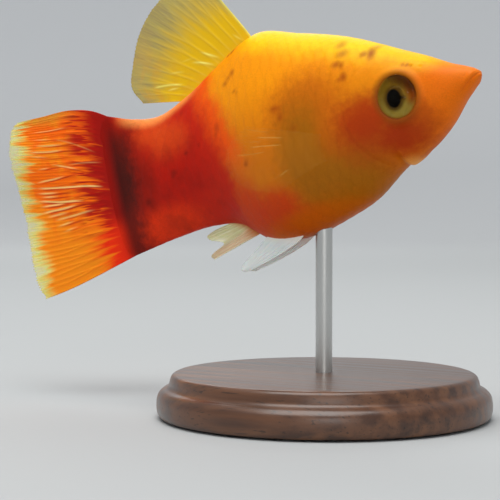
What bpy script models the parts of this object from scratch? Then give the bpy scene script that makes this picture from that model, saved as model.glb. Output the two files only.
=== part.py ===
"""A platy, a small stocky aquarium fish, as a life-size still model on a display stand.

The fish looks along +X with its nose raised, its right side faces -Y and +Z is up.
Its tail is swung a little to its right. The origin is the centre of the stand's underside.
Body places are given as (s, y, h) in millimetres: s runs back from the tip of the snout,
y to the fish's left and h up from its axis. place() turns them into world metres.
"""
import bmesh
import bpy
import numpy as np
from math import cos, pi, radians, sin, tan
from mathutils import Matrix, Vector

MM = 0.001
GAP = 0.3  # between touching pieces

# Pose
PITCH = radians(13.7)  # nose up
SNOUT_X = 15.0  # the snout's place over the stand, whose centre is x = 0
SNOUT_Z = 30.0
SWING = 3.0  # how far the end of the tail fin stands to the right
SWING_START = 20.0
SWING_SPAN = 30.0

# Body lengths
GILL_CUT = 12.5  # where the head ends, on the axis
GILL_CUT_LEAN = 0.10  # the cut runs further back higher up
TRUNK_END = 27.0
TAIL_END = 38.0  # standard length, where the tail fin's rays begin

# Stations of the body: (s, value)
BACK_LINE = [
    (0.0, 0.20), (0.25, 0.50), (0.8, 0.85), (2.2, 1.55), (4.3, 2.84), (6.5, 4.05), (11.0, 6.5), (16.0, 8.4),
    (20.4, 9.7), (22.6, 9.15), (25.2, 8.0), (29.2, 6.15), (32.7, 5.2), (35.5, 5.7), (38.0, 6.7),
]
BELLY_LINE = [
    (0.0, -0.25), (0.25, -0.60), (0.8, -1.15), (1.8, -2.15), (3.4, -3.8), (5.0, -4.9), (9.0, -6.4),
    (11.9, -7.9), (15.2, -8.9), (19.6, -9.6), (23.4, -8.8), (25.8, -6.95), (28.7, -6.35), (33.0, -6.5),
    (38.0, -7.15),
]
HALF_WIDTH = [
    (0.0, 0.45), (0.25, 0.85), (0.8, 1.2), (2.0, 1.75), (4.0, 2.5), (6.5, 3.15), (9.3, 3.75), (12.0, 4.2),
    (17.0, 4.75), (21.0, 4.5), (25.0, 3.3), (29.0, 2.4), (33.0, 1.8), (38.0, 0.7),
]
WIDEST_HEIGHT = [
    (0.0, 0.0), (6.0, -0.5), (12.0, -1.2), (18.0, -2.0), (24.0, -1.0), (30.0, -0.4), (38.0, -0.2),
]
BACK_ROUNDNESS = [(0.0, 2.3), (7.0, 2.4), (15.0, 2.0), (21.0, 1.8), (38.0, 1.9)]
BELLY_ROUNDNESS = [(0.0, 2.2), (7.0, 1.9), (16.0, 2.1), (26.0, 1.8), (38.0, 1.9)]

# Head
MOUTH_PITCH = radians(38)  # the gape runs down and back
MOUTH_HEIGHT = -0.05
MOUTH_LENGTH = 1.5
GAPE_WIDTH = 0.22  # the slit between the lips
LIP_RADIUS = 0.2
LIP_SINK = 0.08  # the lips' middle lies this far below the skin
NOSTRILS = [(2.6, 1.05), (3.5, 1.35)]  # (s, h)
NOSTRIL_RADIUS = 0.24
EYE_S = 6.43
EYE_H = -0.37
EYE_RADIUS = 1.95
EYE_NARROWNESS = 0.915  # its width as a share of its height
EYE_DEPTH = 1.0  # half thickness of the lens shape
EYE_SUNK = 0.4  # its middle lies this far below the skin
EYE_TOE_IN = radians(-3)  # the eye looks a little back
GILL_COVER_CENTRE = (10.25, -1.8)
GILL_COVER_HALF = (1.2, 3.7)
GILL_COVER_LEAN = 0.22  # it runs further forward lower down
GILL_COVER_THICKNESS = 0.6
GILL_COVER_SQUARENESS = 0.85  # 1 is an ellipse, less is boxier
THROAT_FOLD = (6.4, 8.4)  # where the gill membrane's fold starts and ends
THROAT_FOLD_DROP = 0.4  # how far its free edge hangs below the throat

# Thickness of the fins
MEMBRANE = 0.5
RAY = 0.85  # on a ray, at its root
EDGE = 0.32
RAY_WIDTH = 0.44  # as a share of the rays' spacing

# Dorsal fin: where it is rooted, and its outer edge as (share from the first ray to the last, (s, h))
DORSAL_ROOT = (20.9, 29.3)
DORSAL_EDGE = [
    (0.0, (24.4, 15.4)), (0.14, (27.2, 17.0)), (0.34, (30.2, 15.8)), (0.55, (32.7, 13.7)),
    (0.74, (34.3, 11.0)), (0.9, (35.0, 8.5)), (1.0, (34.1, 6.9)),
]
DORSAL_RAYS = 10

# Tail fin: its upper and lower edges and how far back its rays reach
TAIL_FIN_TOP = [(38.0, 6.7), (39.6, 7.7), (42.0, 8.35), (45.5, 8.6), (49.5, 8.9)]
TAIL_FIN_LOW = [(38.0, -7.15), (41.0, -7.8), (45.8, -8.8), (49.5, -9.3)]
TAIL_FIN_END = 49.75
TAIL_FIN_ROUNDING = 0.55  # the middle rays reach further back than the outer ones
TAIL_FIN_CORNER = 0.6
TAIL_FIN_LIFT = 0.16  # its middle rays bend upward by this share of its height
TAIL_FIN_RAYS = 13

# Anal fin: folded back along the belly, notched between two lobes
ANAL_ROOT = (24.0, 26.4)
ANAL_EDGE = [
    (0.0, (29.9, -9.4)), (0.2, (30.0, -8.95)), (0.42, (28.3, -8.2)), (0.62, (29.7, -7.55)),
    (0.84, (30.0, -7.05)), (1.0, (29.4, -6.8)),
]
ANAL_RAYS = 8

# Pectoral fins: laid back along the flanks
PECTORAL_ROOT = ((13.0, -1.7), (13.3, -4.3))  # (s, h) of the upper and the lower ray
PECTORAL_EDGE = [
    (0.0, (20.0, 0.6)), (0.2, (22.1, -0.5)), (0.4, (22.8, -1.8)), (0.6, (22.7, -3.2)),
    (0.8, (21.3, -4.7)), (1.0, (18.6, -5.8)),
]
PECTORAL_SPLAY = 0.13  # they stand further off the flank towards their tips
PECTORAL_RAYS = 9

# Pelvic fins: rooted low on the belly and swept back, with (s, y, h) along the edge
PELVIC_ROOT = ((19.2, 0.95), (22.9, 0.85))  # (s, y) of the outer and the inner ray
PELVIC_EDGE = [(0.0, (26.1, 0.7, -11.35)), (0.5, (26.6, 0.62, -11.15)), (1.0, (26.7, 0.55, -10.8))]
PELVIC_SAG = 0.45  # how much sooner the outer ray drops than a straight one
PELVIC_RAYS = 5

# Stand
BASE_RADIUS = 15.0
BASE_HEIGHT = 4.0
ROD_RADIUS = 0.75


def smooth_line(points):
    """A smooth curve through (station, value) points."""
    stations = np.array([p[0] for p in points])
    values = np.array([p[1] for p in points])
    slopes = np.gradient(values, stations)

    def value(s):
        s = min(max(s, stations[0]), stations[-1])
        k = min(max(int(np.searchsorted(stations, s)) - 1, 0), len(stations) - 2)
        step = stations[k + 1] - stations[k]
        t = (s - stations[k]) / step
        start = (2 * t**3 - 3 * t**2 + 1) * values[k] + (t**3 - 2 * t**2 + t) * step * slopes[k]
        end = (3 * t**2 - 2 * t**3) * values[k + 1] + (t**3 - t**2) * step * slopes[k + 1]
        return float(start + end)

    return value


back = smooth_line(BACK_LINE)
belly = smooth_line(BELLY_LINE)
half_width = smooth_line(HALF_WIDTH)
widest_height = smooth_line(WIDEST_HEIGHT)
back_roundness = smooth_line(BACK_ROUNDNESS)
belly_roundness = smooth_line(BELLY_ROUNDNESS)


def swing(s):
    return -SWING * (max(s - SWING_START, 0.0) / SWING_SPAN) ** 2


def place(s, y, h):
    """World metres of a body place."""
    x = SNOUT_X - s * cos(PITCH) - h * sin(PITCH)
    z = SNOUT_Z - s * sin(PITCH) + h * cos(PITCH)
    return Vector((x, y + swing(s), z)) * MM


def body_point(s, angle):
    """The skin at station s; angle 0 is the left side, 90 degrees the back."""
    up = sin(angle)
    out = cos(angle)
    middle = widest_height(s)
    if up >= 0:
        power = 2 / back_roundness(s)
        reach = back(s) - middle
    else:
        power = 2 / belly_roundness(s)
        reach = belly(s) - middle
    side = 1 if out >= 0 else -1
    return s, side * half_width(s) * abs(out) ** power, middle + reach * abs(up) ** power


def leaning_point(s, angle, lean):
    """The skin where the plane through (s, 0, 0) with the given lean meets it."""
    at = s
    for _ in range(6):
        at = s + lean * body_point(at, angle)[2]
    return body_point(at, angle)


def skin_width(s, h):
    """How far the skin stands out from the mid plane at station s and height h."""
    middle = widest_height(s)
    if h >= middle:
        power = back_roundness(s)
        reach = back(s) - middle
    else:
        power = belly_roundness(s)
        reach = belly(s) - middle
    share = min(abs((h - middle) / reach), 1.0)
    return half_width(s) * (1 - share**power) ** (1 / power)


def skin_normal(s, h, side):
    """The direction straight out of the skin, in body places."""
    step = 0.1
    slope_s = (skin_width(s + step, h) - skin_width(s - step, h)) / (2 * step)
    slope_h = (skin_width(s, h + step) - skin_width(s, h - step)) / (2 * step)
    return Vector((-slope_s, side, -slope_h)).normalized()


def material(name, colour, roughness, metallic=0.0):
    made = bpy.data.materials.new(name)
    made.use_nodes = True
    shader = made.node_tree.nodes["Principled BSDF"]
    shader.inputs["Base Color"].default_value = (*colour, 1.0)
    shader.inputs["Roughness"].default_value = roughness
    shader.inputs["Metallic"].default_value = metallic
    return made


def finish_object(name, mesh_builder, surface, collection, smooth=True):
    """Turns a bmesh into a named object with outward faces."""
    bmesh.ops.recalc_face_normals(mesh_builder, faces=mesh_builder.faces)
    mesh = bpy.data.meshes.new(name)
    mesh_builder.to_mesh(mesh)
    mesh_builder.free()
    if smooth:
        mesh.shade_smooth()
        mesh.set_sharp_from_angle(angle=radians(40))
    if surface:
        mesh.materials.append(surface)
    made = bpy.data.objects.new(name, mesh)
    collection.objects.link(made)
    return made


def as_cutter(made):
    made.hide_render = True
    made.display_type = "WIRE"
    return made


def loft(rings):
    """A closed body over rings of world points, with flat ends."""
    build = bmesh.new()
    loops = [[build.verts.new(point) for point in ring] for ring in rings]
    count = len(loops[0])
    for first, second in zip(loops, loops[1:]):
        for k in range(count):
            after = (k + 1) % count
            build.faces.new((first[k], first[after], second[after], second[k]))
    build.faces.new(loops[0])
    build.faces.new(loops[-1])
    return build


def body_length(start, end, start_lean, end_lean, rings, around):
    """A length of the body between two leaning cuts."""
    made = []
    for k in range(rings + 1):
        share = k / rings
        s = start + (end - start) * share
        lean = start_lean + (end_lean - start_lean) * share
        made.append([place(*leaning_point(s, 2 * pi * n / around, lean)) for n in range(around)])
    return loft(made)


def join_and_cut(body, joined, cutters):
    """Applies one union and one difference, each with a collection, and clears the union's pieces."""
    for operation, pieces in (("UNION", joined), ("DIFFERENCE", cutters)):
        if not pieces:
            continue
        step = body.modifiers.new(operation.title(), "BOOLEAN")
        step.operation = operation
        step.operand_type = "COLLECTION"
        step.collection = pieces
        step.solver = "EXACT"
    bpy.context.view_layer.update()
    evaluated = body.evaluated_get(bpy.context.evaluated_depsgraph_get())
    mesh = bpy.data.meshes.new_from_object(evaluated)
    body.modifiers.clear()
    body.data = mesh
    if joined:
        for piece in list(joined.objects):
            bpy.data.objects.remove(piece)
        bpy.data.collections.remove(joined)


def tube(points, radius, ends):
    """A tube of world points in metres whose radius tapers to a share of itself at both ends."""
    curve = bpy.data.curves.new("tube", "CURVE")
    curve.dimensions = "3D"
    curve.bevel_depth = radius * MM
    curve.bevel_resolution = 2
    curve.use_fill_caps = True
    spline = curve.splines.new("POLY")
    spline.points.add(len(points) - 1)
    for k, point in enumerate(points):
        spline.points[k].co = (*point, 1.0)
        share = abs(2 * k / (len(points) - 1) - 1)
        spline.points[k].radius = 1 - (1 - ends) * share**3
    return curve


def mesh_of_curve(name, curve, collection):
    """A closed mesh object made from a curve, which is then removed."""
    holder = bpy.data.objects.new(name, curve)
    bpy.context.scene.collection.objects.link(holder)
    bpy.context.view_layer.update()
    evaluated = holder.evaluated_get(bpy.context.evaluated_depsgraph_get())
    mesh = bpy.data.meshes.new_from_object(evaluated)
    bpy.data.objects.remove(holder)
    build = bmesh.new()
    build.from_mesh(mesh)
    bpy.data.meshes.remove(mesh)
    bmesh.ops.remove_doubles(build, verts=build.verts, dist=1e-6)
    return finish_object(name, build, None, collection)


def mouth_line(offset):
    """The line where the gape's plane, moved by offset, meets the skin: corner, tip, corner."""
    steps = 7

    def height(s):
        return MOUTH_HEIGHT + offset - tan(MOUTH_PITCH) * s

    side = []
    for k in range(steps):
        s = MOUTH_LENGTH * (1 - k / (steps - 1)) ** 1.5 + 0.03
        side.append((s, skin_width(s, height(s)) - LIP_SINK, height(s)))
    tip = (-0.04, 0.0, height(-0.04))
    right = [(s, -y, h) for s, y, h in side]
    return side + [tip] + right[::-1]


def make_head(parts, cutters, surface):
    build = body_length(0.0, GILL_CUT - GAP / 2, 0.0, GILL_CUT_LEAN, 26, 44)
    head = finish_object("head", build, surface, parts)

    lips = bpy.data.collections.new("lips")
    bpy.context.scene.collection.children.link(lips)
    for name, offset in (("upper_lip", LIP_RADIUS), ("lower_lip", -LIP_RADIUS)):
        points = [place(*point) for point in mouth_line(offset)]
        mesh_of_curve(name, tube(points, LIP_RADIUS, 0.5), lips)

    head_cutters = bpy.data.collections.new("head_cutters")
    cutters.children.link(head_cutters)
    make_mouth_cutter(head_cutters)
    for side, name in ((1, "left"), (-1, "right")):
        as_cutter(eye_ball("socket_" + name, side, GAP, None, head_cutters))
        as_cutter(gill_plate("gill_recess_" + name, side, GAP, None, head_cutters))
        for number, (s, h) in enumerate(NOSTRILS):
            centre = place(s, side * skin_width(s, h), h)
            build = bmesh.new()
            radius = NOSTRIL_RADIUS * MM
            at = Matrix.Translation(centre)
            bmesh.ops.create_icosphere(build, subdivisions=2, radius=radius, matrix=at)
            as_cutter(finish_object(f"nostril_{name}_{number}", build, None, head_cutters))
    join_and_cut(head, lips, head_cutters)


def make_mouth_cutter(cutters):
    """A thin slab along the gape, a little wider than the mouth."""
    depth = MOUTH_LENGTH / cos(MOUTH_PITCH) * 0.8
    ahead = 0.9
    width = 3.2
    build = bmesh.new()
    bmesh.ops.create_cube(build, size=1.0)
    bmesh.ops.scale(build, verts=build.verts, vec=(depth + ahead, width, GAPE_WIDTH))
    bmesh.ops.translate(build, verts=build.verts, vec=((ahead - depth) / 2, 0, 0))
    bmesh.ops.scale(build, verts=build.verts, vec=(MM, MM, MM))
    turn = Matrix.Rotation(-MOUTH_PITCH - PITCH, 4, "Y")
    at = Matrix.Translation(place(0, 0, MOUTH_HEIGHT))
    bmesh.ops.transform(build, verts=build.verts, matrix=at @ turn)
    as_cutter(finish_object("mouth_cutter", build, None, cutters, smooth=False))


def eye_ball(name, side, grow, surface, collection):
    """The eye: a lens shape whose short axis looks out of the head."""
    out = skin_normal(EYE_S, EYE_H, side)
    out = Matrix.Rotation(side * EYE_TOE_IN, 3, "Z") @ out
    middle = Vector((EYE_S, side * skin_width(EYE_S, EYE_H), EYE_H)) - EYE_SUNK * out
    centre = place(*middle)
    ahead = (place(*(middle + out)) - centre).normalized()
    turn = ahead.to_track_quat("Z", "Y").to_matrix().to_4x4()
    wide = (EYE_RADIUS + grow) * MM
    deep = (EYE_DEPTH + grow) * MM
    build = bmesh.new()
    bmesh.ops.create_uvsphere(build, u_segments=24, v_segments=12, radius=1.0)
    size = Matrix.Diagonal((wide * EYE_NARROWNESS, wide, deep, 1.0))
    bmesh.ops.transform(build, verts=build.verts, matrix=Matrix.Translation(centre) @ turn @ size)
    return finish_object(name, build, surface, collection)


def gill_plate(name, side, grow, surface, collection):
    """A gill cover, or with grow the recess that it lies in with a gap all round."""
    rings = 4
    around = 28
    centre_s, centre_h = GILL_COVER_CENTRE
    outer_face = 1.5 if grow else 0.0
    inner_face = GILL_COVER_THICKNESS + grow
    build = bmesh.new()
    faces = {}
    for sunk in (-outer_face, inner_face):
        grid = []
        for ring in range(1, rings + 1):
            share = ring / rings
            loop = []
            for k in range(around):
                along = cos(2 * pi * k / around)
                up = sin(2 * pi * k / around)
                reach_s = (GILL_COVER_HALF[0] + grow) * np.sign(along) * abs(along) ** GILL_COVER_SQUARENESS
                reach_h = (GILL_COVER_HALF[1] + grow) * np.sign(up) * abs(up) ** GILL_COVER_SQUARENESS
                h = centre_h + share * reach_h
                s = centre_s + share * reach_s + GILL_COVER_LEAN * (h - centre_h)
                loop.append(build.verts.new(place(s, side * (skin_width(s, h) - sunk), h)))
            grid.append(loop)
        middle = build.verts.new(place(centre_s, side * (skin_width(centre_s, centre_h) - sunk), centre_h))
        faces[sunk] = (middle, grid)
    for middle, grid in faces.values():
        for k in range(around):
            after = (k + 1) % around
            build.faces.new((middle, grid[0][k], grid[0][after]))
            for inner, outer in zip(grid, grid[1:]):
                build.faces.new((inner[k], outer[k], outer[after]))
                build.faces.new((inner[k], outer[after], inner[after]))
    rims = [grid[-1] for middle, grid in faces.values()]
    for k in range(around):
        after = (k + 1) % around
        build.faces.new((rims[0][k], rims[1][k], rims[1][after], rims[0][after]))
    return finish_object(name, build, surface, collection)


def ray_columns(rays):
    """(place from 0 to 1 across the fin, 1 on a ray and 0 on the membrane) of each column of points."""
    columns = []
    spacing = 1 / (rays - 1)
    for k in range(rays):
        if k > 0:
            columns.append(((k - RAY_WIDTH / 2) * spacing, 0.0))
        columns.append((k * spacing, 1.0))
        if k < rays - 1:
            columns.append(((k + RAY_WIDTH / 2) * spacing, 0.0))
    return columns


def blade(point, columns, rows, plane=None):
    """A fin: point(across, along) gives its middle surface, and each ray is a ridge on both faces.

    plane is the direction of its thickness, or None where it follows the surface.
    """
    build = bmesh.new()
    layers = [[], []]
    step = 0.02
    for across, ridge in columns:
        strands = [[], []]
        for row in range(rows + 1):
            along = row / rows
            middle = Vector(point(across, along))
            if plane is None:
                one_side = Vector(point(max(across - step, 0.0), along))
                other_side = Vector(point(min(across + step, 1.0), along))
                inner = Vector(point(across, max(along - step, 0.0)))
                outer = Vector(point(across, min(along + step, 1.0)))
                normal = (outer - inner).cross(other_side - one_side).normalized()
            else:
                normal = plane
            thickness = MEMBRANE + ridge * (RAY - MEMBRANE) * (1 - 0.5 * along)
            if row == rows:
                thickness = EDGE
            for layer, sign in ((0, 1), (1, -1)):
                offset = middle + normal * (sign * thickness / 2)
                strands[layer].append(build.verts.new(place(*offset)))
        layers[0].append(strands[0])
        layers[1].append(strands[1])
    last = len(columns) - 1
    for face in layers:
        for i in range(last):
            for j in range(rows):
                build.faces.new((face[i][j], face[i + 1][j], face[i + 1][j + 1]))
                build.faces.new((face[i][j], face[i + 1][j + 1], face[i][j + 1]))
    top, under = layers
    for i in range(last):
        for j in (0, rows):
            build.faces.new((top[i][j], top[i + 1][j], under[i + 1][j], under[i][j]))
    for i in (0, last):
        for j in range(rows):
            build.faces.new((top[i][j], top[i][j + 1], under[i][j + 1], under[i][j]))
    return build


SIDEWAYS = Vector((0, 1, 0))


def edge_lines(edge):
    """One smooth line for each part of the places along a fin's outer edge."""
    return [smooth_line([(share, tip[axis]) for share, tip in edge]) for axis in range(len(edge[0][1]))]


dorsal_edge_s, dorsal_edge_h = edge_lines(DORSAL_EDGE)
tail_fin_top = smooth_line(TAIL_FIN_TOP)
tail_fin_low = smooth_line(TAIL_FIN_LOW)
anal_edge_s, anal_edge_h = edge_lines(ANAL_EDGE)
pectoral_edge_s, pectoral_edge_h = edge_lines(PECTORAL_EDGE)
pelvic_edge_s, pelvic_edge_y, pelvic_edge_h = edge_lines(PELVIC_EDGE)


def dorsal_point(across, along):
    root = DORSAL_ROOT[0] + across * (DORSAL_ROOT[1] - DORSAL_ROOT[0])
    s = root + (dorsal_edge_s(across) - root) * along
    foot = back(root) + GAP
    rise = along ** 0.94
    return s, 0.0, foot + (dorsal_edge_h(across) - foot) * rise


def tail_fin_point(across, along):
    from_middle = abs(2 * across - 1)
    end = TAIL_FIN_END - TAIL_FIN_ROUNDING * from_middle**2 - TAIL_FIN_CORNER * from_middle**12
    start = TAIL_END + GAP / 2
    s = start + (end - start) * along
    lifted = across - TAIL_FIN_LIFT * sin(pi * across) * along
    return s, 0.0, tail_fin_top(s) + (tail_fin_low(s) - tail_fin_top(s)) * lifted


def anal_point(across, along):
    root = ANAL_ROOT[0] + across * (ANAL_ROOT[1] - ANAL_ROOT[0])
    foot = belly(root) - GAP
    s = root + (anal_edge_s(across) - root) * along
    return s, 0.0, foot + (anal_edge_h(across) - foot) * along


def pectoral_point(side):
    (top_s, top_h), (low_s, low_h) = PECTORAL_ROOT

    def point(across, along):
        root_s = top_s + across * (low_s - top_s)
        root_h = top_h + across * (low_h - top_h)
        s = root_s + (pectoral_edge_s(across) - root_s) * along
        h = root_h + (pectoral_edge_h(across) - root_h) * along
        clear = GAP + RAY / 2 + 0.1 + PECTORAL_SPLAY * (s - root_s)
        return s, side * (skin_width(s, h) + clear), h

    return point


def belly_height(s, y):
    """Height of the belly's underside at station s, y away from the mid plane."""
    power = belly_roundness(s)
    share = min(abs(y) / half_width(s), 1.0)
    middle = widest_height(s)
    return middle + (belly(s) - middle) * (1 - share**power) ** (1 / power)


def pelvic_point(side):
    (outer_s, outer_y), (inner_s, inner_y) = PELVIC_ROOT

    def point(across, along):
        root_s = outer_s + across * (inner_s - outer_s)
        root_y = outer_y + across * (inner_y - outer_y)
        root_h = belly_height(root_s, root_y) - GAP - 0.15
        s = root_s + (pelvic_edge_s(across) - root_s) * along
        y = root_y + (pelvic_edge_y(across) - root_y) * along
        drop = along ** (1 - PELVIC_SAG * (1 - across))
        return s, side * y, root_h + (pelvic_edge_h(across) - root_h) * drop

    return point


def throat_fold_point(across, along):
    """The fold of the gill membrane, wrapped round the throat with its free edge behind."""
    s = THROAT_FOLD[0] + (THROAT_FOLD[1] - THROAT_FOLD[0]) * along
    angle = -pi / 2 + radians(30) * (2 * across - 1)
    s_at, y, h = body_point(s, angle)
    drop = THROAT_FOLD_DROP * along**1.5 * (1 - 0.6 * (2 * across - 1) ** 2)
    clear = GAP + MEMBRANE / 2 + 0.08
    deep = belly(s) - widest_height(s)
    normal = Vector((0, y / half_width(s) ** 2, (h - widest_height(s)) / deep**2)).normalized()
    out = Vector((s_at, y, h)) + normal * clear
    return out.x, out.y, out.z - drop


def make_stand(parts, base_surface, rod_surface):
    profile = [
        (0.0, BASE_HEIGHT), (BASE_RADIUS - 1.9, BASE_HEIGHT), (BASE_RADIUS - 1.4, BASE_HEIGHT - 0.15),
        (BASE_RADIUS - 1.2, BASE_HEIGHT - 0.6), (BASE_RADIUS - 1.1, BASE_HEIGHT - 1.2),
        (BASE_RADIUS - 0.4, BASE_HEIGHT - 1.5), (BASE_RADIUS, BASE_HEIGHT - 2.1), (BASE_RADIUS, 0.5),
        (BASE_RADIUS - 0.5, 0.0), (0.0, 0.0),
    ]
    mesh = bpy.data.meshes.new("stand_base")
    verts = [(x * MM, 0.0, z * MM) for x, z in profile]
    mesh.from_pydata(verts, [(k, k + 1) for k in range(len(verts) - 1)], [])
    mesh.materials.append(base_surface)
    base = bpy.data.objects.new("stand_base", mesh)
    parts.objects.link(base)
    turned = base.modifiers.new("Turned", "SCREW")
    turned.axis = "Z"
    turned.steps = 56
    turned.render_steps = 56
    turned.use_merge_vertices = True
    turned.merge_threshold = 0.00001
    turned.use_smooth_shade = True

    sides = 20
    foot = BASE_HEIGHT + GAP
    rings = [[], []]
    for k in range(sides):
        x = ROD_RADIUS * cos(2 * pi * k / sides)
        y = ROD_RADIUS * sin(2 * pi * k / sides)
        rings[0].append(Vector((x, y, foot)) * MM)
        rings[1].append(Vector((x, y, belly_over(x, y) - GAP)) * MM)
    finish_object("stand_rod", loft(rings), rod_surface, parts)


def belly_over(x, y):
    """World height in millimetres of the belly's underside over a point of the stand."""
    s = SNOUT_X - x
    for _ in range(12):
        h = belly_height(s, y - swing(s))
        s = (SNOUT_X - x - h * sin(PITCH)) / cos(PITCH)
    return place(s, y, belly_height(s, y - swing(s))).z / MM


def main():
    for old in list(bpy.data.objects):
        bpy.data.objects.remove(old)

    scene = bpy.context.scene.collection
    parts = bpy.data.collections.new("platy")
    cutters = bpy.data.collections.new("cutters")
    scene.children.link(parts)
    scene.children.link(cutters)

    orange = material("head_orange", (0.90, 0.35, 0.02), 0.4)
    amber = material("flank_amber", (0.80, 0.32, 0.02), 0.4)
    red = material("tail_red", (0.55, 0.03, 0.005), 0.4)
    fin_orange = material("tail_fin_orange", (0.90, 0.22, 0.03), 0.45)
    fin_yellow = material("dorsal_fin_yellow", (0.75, 0.48, 0.05), 0.45)
    fin_pale = material("belly_fin_pale", (0.70, 0.66, 0.55), 0.45)
    eye_dark = material("eye", (0.16, 0.12, 0.03), 0.1)
    wood = material("stand_wood", (0.10, 0.05, 0.025), 0.35)
    steel = material("stand_steel", (0.6, 0.6, 0.6), 0.3, metallic=1.0)

    make_head(parts, cutters, orange)
    gill_cut = (GILL_CUT + GAP / 2, TRUNK_END - GAP / 2)
    trunk = body_length(*gill_cut, GILL_CUT_LEAN, 0.0, 20, 40)
    finish_object("trunk", trunk, amber, parts)
    stem = body_length(TRUNK_END + GAP / 2, TAIL_END - GAP / 2, 0.0, 0.0, 12, 32)
    finish_object("tail_stem", stem, red, parts)

    for side, name in ((1, "left"), (-1, "right")):
        eye_ball("eye_" + name, side, 0.0, eye_dark, parts)
        gill_plate("gill_cover_" + name, side, 0.0, orange, parts)
        pectoral = blade(pectoral_point(side), ray_columns(PECTORAL_RAYS), 6)
        finish_object("pectoral_fin_" + name, pectoral, fin_pale, parts)
        pelvic = blade(pelvic_point(side), ray_columns(PELVIC_RAYS), 5)
        finish_object("pelvic_fin_" + name, pelvic, fin_pale, parts)

    fold = blade(throat_fold_point, [(k / 10, 0.0) for k in range(11)], 4)
    finish_object("gill_membrane", fold, amber, parts)

    fins = (
        ("dorsal_fin", dorsal_point, DORSAL_RAYS, 7, fin_yellow),
        ("tail_fin", tail_fin_point, TAIL_FIN_RAYS, 7, fin_orange),
        ("anal_fin", anal_point, ANAL_RAYS, 4, fin_pale),
    )
    for name, point, rays, rows, surface in fins:
        finish_object(name, blade(point, ray_columns(rays), rows, plane=SIDEWAYS), surface, parts)

    make_stand(parts, wood, steel)


main()
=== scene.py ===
from math import cos, pi, radians, sin
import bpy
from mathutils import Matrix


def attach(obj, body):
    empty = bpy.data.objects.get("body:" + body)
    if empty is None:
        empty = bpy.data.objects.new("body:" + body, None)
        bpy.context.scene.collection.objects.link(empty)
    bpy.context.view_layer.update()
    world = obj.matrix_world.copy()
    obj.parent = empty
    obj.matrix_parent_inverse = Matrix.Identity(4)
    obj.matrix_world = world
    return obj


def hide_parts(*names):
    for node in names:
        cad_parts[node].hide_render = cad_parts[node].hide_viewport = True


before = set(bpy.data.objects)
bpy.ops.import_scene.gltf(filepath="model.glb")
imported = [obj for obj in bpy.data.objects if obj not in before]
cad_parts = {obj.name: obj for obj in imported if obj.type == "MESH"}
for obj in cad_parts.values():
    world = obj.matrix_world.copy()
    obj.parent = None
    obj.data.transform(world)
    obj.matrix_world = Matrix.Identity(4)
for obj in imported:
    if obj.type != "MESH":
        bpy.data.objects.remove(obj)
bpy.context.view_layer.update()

from types import SimpleNamespace

import bmesh
import bpy
import numpy as np
from mathutils import Matrix, Vector

mm = 0.001

# The fish is drawn in body places (s, y, h), in millimetres: s runs back from the snout's tip,
# y to the fish's left, h up from its axis. toWorld turns them into metres.
pose = {
    "pitch": radians(13.7),
    "snoutX": 15.0,
    "snoutZ": 30.0,
    "swing": 3.0,  # the tail fin's end stands this far to the right
    "swingStart": 20.0,
    "swingSpan": 30.0,
}

bodyLines = {
    "back": [
        (0.0, 0.20), (0.25, 0.50), (0.8, 0.85), (2.2, 1.55), (4.3, 2.84), (6.5, 4.05), (11.0, 6.5),
        (16.0, 8.4), (20.4, 9.7), (22.6, 9.15), (25.2, 8.0), (29.2, 6.15), (32.7, 5.2), (35.5, 5.7),
        (38.0, 6.65), (39.2, 7.1), (39.9, 7.3),
    ],
    "belly": [
        (0.0, -0.25), (0.25, -0.56), (0.8, -1.03), (1.8, -1.90), (3.4, -3.5), (5.0, -4.65), (9.0, -6.2),
        (11.9, -7.9), (15.2, -8.9), (19.6, -9.6), (23.4, -8.8), (25.8, -6.95), (28.7, -6.35), (33.0, -6.5),
        (38.0, -7.15), (39.2, -7.3), (39.9, -7.4),
    ],
    "width": [
        (0.0, 0.45), (0.25, 0.85), (0.8, 1.2), (2.0, 1.75), (4.0, 2.5), (6.5, 3.15), (9.3, 3.75),
        (12.0, 4.2), (17.0, 4.75), (21.0, 4.5), (25.0, 3.3), (29.0, 2.4), (33.0, 1.8), (36.0, 1.15),
        (37.0, 0.74), (38.0, 0.36), (38.6, 0.18), (39.1, 0.085), (39.5, 0.05), (39.9, 0.03),
    ],
    "middle": [
        (0.0, 0.0), (6.0, -0.5), (12.0, -1.2), (18.0, -2.0), (24.0, -1.0), (30.0, -0.4), (38.0, -0.2),
    ],
    "backRound": [(0.0, 2.3), (7.0, 2.4), (15.0, 2.0), (21.0, 1.8), (38.0, 1.9)],
    "bellyRound": [(0.0, 2.2), (7.0, 1.9), (16.0, 2.1), (26.0, 1.8), (38.0, 1.9)],
}
skinEnd = 39.9  # inside the tail fin's root


def smoothLine(points):  # a curve through (place, value) points, for arrays
    at = np.array([p[0] for p in points])
    values = np.array([p[1] for p in points])
    slopes = np.gradient(values, at)

    def value(x):
        x = np.clip(np.asarray(x, float), at[0], at[-1])
        k = np.clip(np.searchsorted(at, x) - 1, 0, len(at) - 2)
        step = at[k + 1] - at[k]
        t = (x - at[k]) / step
        rising = 3 * t**2 - 2 * t**3
        level = (1 - rising) * values[k] + rising * values[k + 1]
        return level + step * ((t**3 - 2 * t**2 + t) * slopes[k] + (t**3 - t**2) * slopes[k + 1])

    return value


lines = {name: smoothLine(points) for name, points in bodyLines.items()}


def rise(x, low, high):  # 0 below low, 1 above high, smooth between
    t = np.clip((x - low) / (high - low), 0, 1)
    return t * t * (3 - 2 * t)


def hump(x, width):
    return np.exp(-((x / width) ** 2))


def blend(share, first, last):
    return first + share * (last - first)


def stacked(*parts):  # brings the parts to one shape, as the last axis of one array
    return np.stack(np.broadcast_arrays(*parts), -1)


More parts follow.
